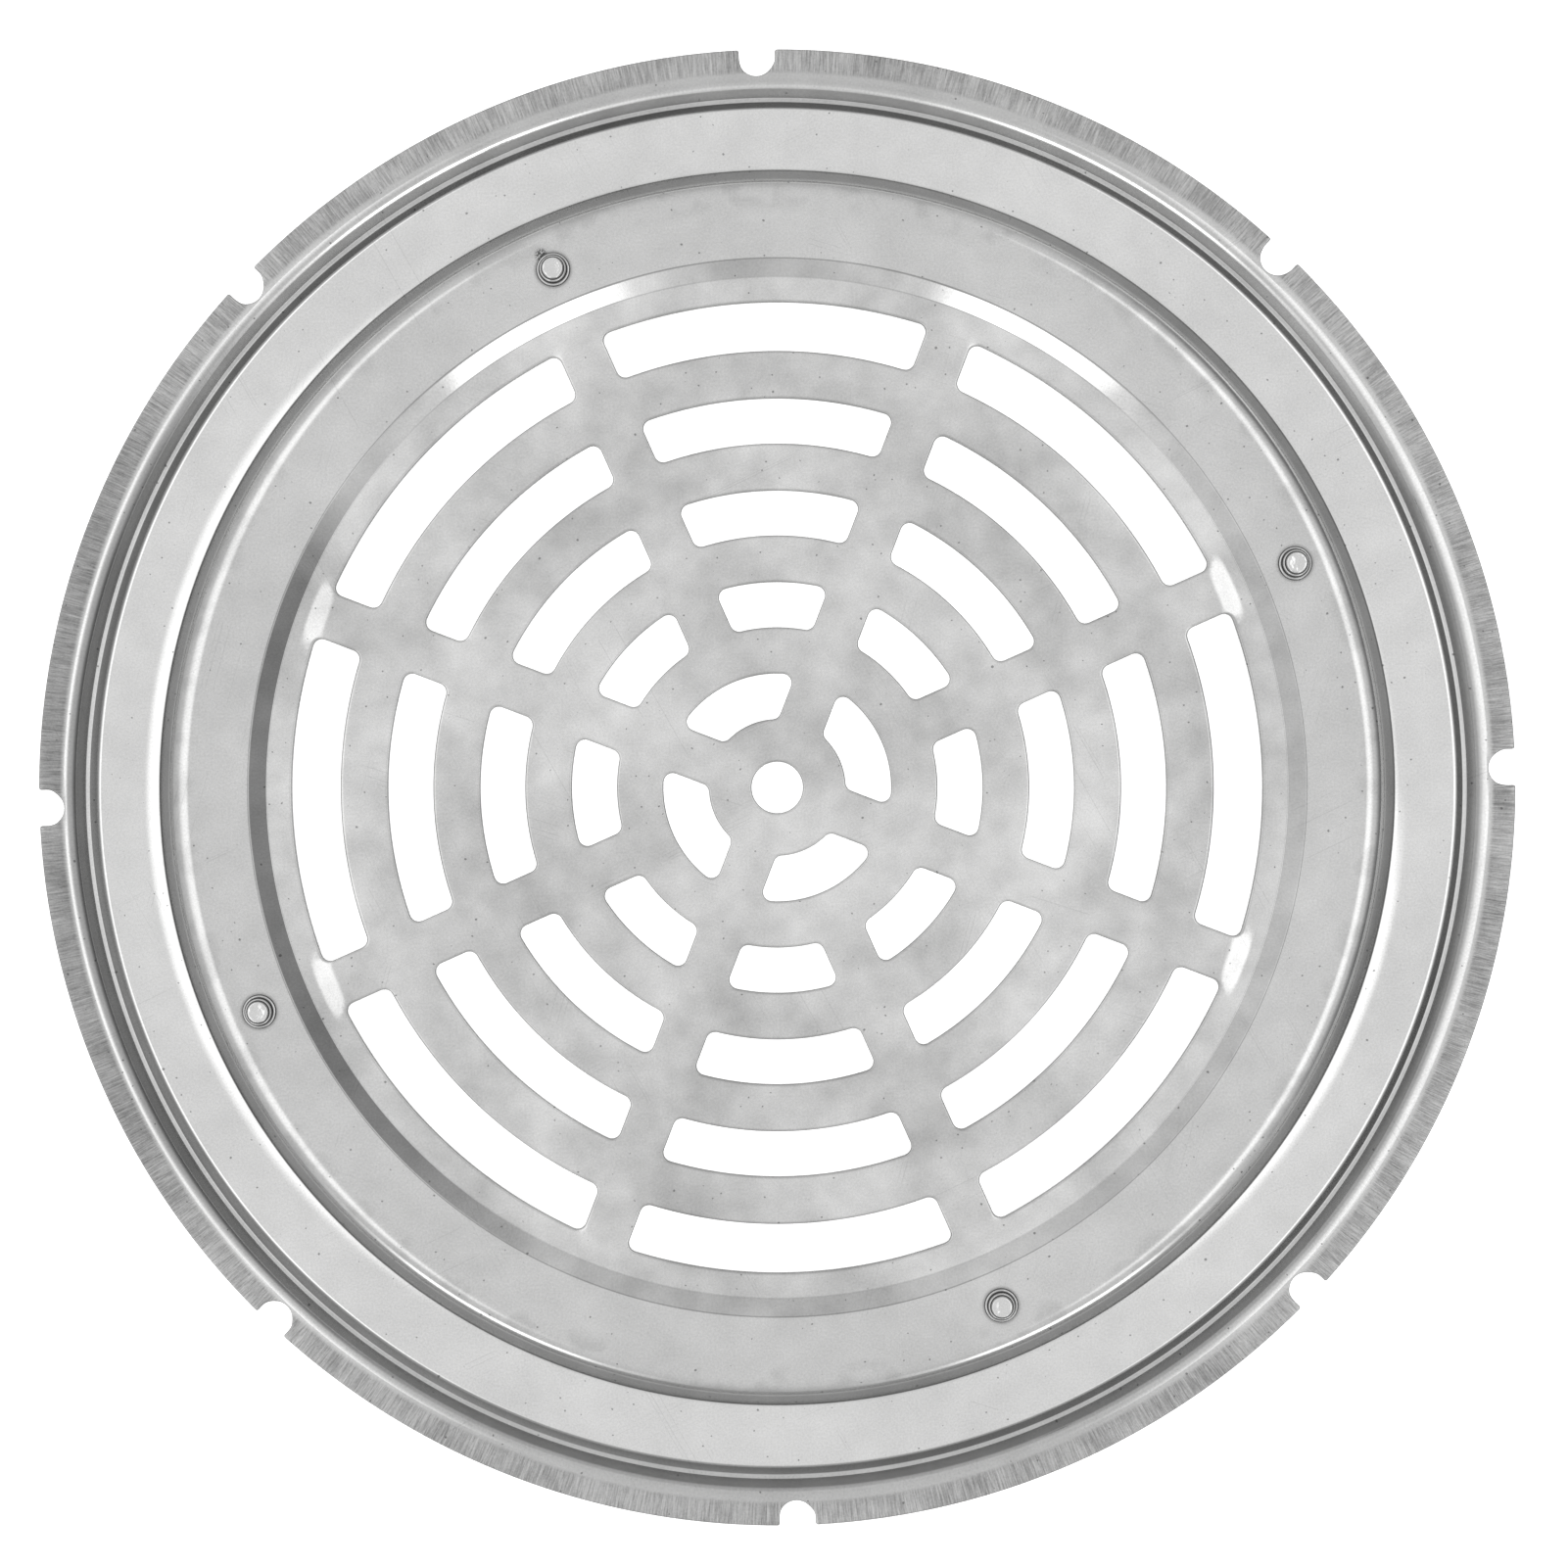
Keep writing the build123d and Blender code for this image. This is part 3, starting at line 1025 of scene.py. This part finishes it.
FLOOR_SIZE = 3.0
FLOOR_GLOW = 0.62
CEILING_STOPS = ((0.0, 0.6), (0.12, 0.62), (0.34, 0.72), (0.54, 0.8), (0.7, 0.83), (0.95, 0.86))
SOFTBOXES = ((1, 0.68, (0.28, 0.44), (1.1, 0.5)), (-1, 0.6, (0.28, 0.44), (1.8, 0.55)))
SOFTBOX_SIDE = (1.0, 0.5)
SHADY_BEARING = 10.0
SHADY_EDGE = (0.6, 0.9)
SHADY_CLIMB = (0.62, 0.12)
SHADY_SHARE = 0.35
LAMP_BEARINGS = (239.4, 296.9)
LAMP_CORE = (0.975, 0.998)
LAMP_SKIRT = (0.92, 0.985)
LAMP_HEIGHTS = (0.06, 0.3)
LAMP_GLOWS = (1.5, 0.3)
LAMP_SOFTNESS = 0.08
CAMERA_HEIGHT = 0.38
CAMERA_LENS = 64.15
CAMERA_ROLL = -1.6
CAMERA_SHIFT = (0.0043, 0.0022)


def make_floor():
    """A pale matt floor with a little glow, so that it stays pale under the grate."""
    data = bpy.data.meshes.new("floor")
    half = FLOOR_SIZE / 2
    corners = [(-half, -half, 0), (half, -half, 0), (half, half, 0), (-half, half, 0)]
    data.from_pydata(corners, [], [(0, 1, 2, 3)])
    floor = bpy.data.objects.new("floor", data)
    bpy.context.scene.collection.objects.link(floor)
    floor.location.z = cad_box[0][2]
    finish = Finish("floor")
    shader = finish.node("ShaderNodeBsdfPrincipled")
    shader.inputs["Base Color"].default_value = (0.9, 0.9, 0.9, 1)
    shader.inputs["Roughness"].default_value = 0.9
    shader.inputs["Emission Color"].default_value = (1, 1, 1, 1)
    shader.inputs["Emission Strength"].default_value = FLOOR_GLOW
    out = finish.node("ShaderNodeOutputMaterial")
    finish.feed(out.inputs["Surface"], shader.outputs[0])
    data.materials.append(finish.material)


def make_world():
    """Soft studio surroundings: a ceiling, softboxes left and right, two low lamps and a shady wall."""
    world = bpy.data.worlds.new("studio")
    graph = Graph(world)
    x, y, z = graph.parts(graph.coordinates["Generated"])
    climb = graph.node("ShaderNodeValToRGB")
    for _ in CEILING_STOPS[2:]:
        climb.color_ramp.elements.new(0.5)
    for element, (place, light) in zip(climb.color_ramp.elements, CEILING_STOPS):
        element.position = place
        element.color = (light, light, light, 1)
    graph.feed(climb.inputs[0], z)
    level = climb.outputs[0]

    up = graph.math("MAXIMUM", z, 0.02)
    along = graph.math("ABSOLUTE", graph.math("DIVIDE", y, up))
    across = graph.math("DIVIDE", x, up)
    for side, glow, rise, fall in SOFTBOXES:
        out = graph.times(across, side)
        box = graph.times(graph.ramp(out, *rise), graph.ramp(out, *fall))
        box = graph.times(box, graph.ramp(along, *SOFTBOX_SIDE))
        level = graph.plus(level, graph.times(box, glow))

    flat = graph.math("MAXIMUM", graph.length(x, y), 0.01)

    def facing(bearing):
        """The cosine of the turn between a direction and this bearing."""
        aim = polar(1, bearing)
        part = graph.plus(graph.times(x, aim[0]), graph.times(y, aim[1]))
        return graph.math("DIVIDE", part, flat)

    shady = graph.times(graph.ramp(facing(SHADY_BEARING), *SHADY_EDGE), graph.ramp(z, *SHADY_CLIMB))
    level = graph.times(level, graph.mix(shady, 1.0, SHADY_SHARE))
    low = graph.between(z, *LAMP_HEIGHTS, LAMP_SOFTNESS)
    for bearing in LAMP_BEARINGS:
        turn = facing(bearing)
        for edges, glow in zip((LAMP_CORE, LAMP_SKIRT), LAMP_GLOWS):
            lamp = graph.times(graph.times(graph.ramp(turn, *edges), low), glow)
            level = graph.plus(level, lamp)

    background = graph.node("ShaderNodeBackground")
    background.inputs["Color"].default_value = (1, 1, 1, 1)
    graph.feed(background.inputs["Strength"], level)
    out = graph.node("ShaderNodeOutputWorld")
    graph.feed(out.inputs["Surface"], background.outputs[0])
    bpy.context.scene.world = world


make_floor()
make_world()

lens = bpy.data.cameras.new("camera")
lens.lens = CAMERA_LENS
lens.shift_x, lens.shift_y = CAMERA_SHIFT
lens.clip_start = 0.01
camera = bpy.data.objects.new("camera", lens)
camera.location = (0, 0, CAMERA_HEIGHT)
camera.rotation_euler = (0, 0, radians(CAMERA_ROLL))
bpy.context.scene.collection.objects.link(camera)
bpy.context.scene.camera = camera
bpy.context.scene.view_settings.view_transform = "Standard"
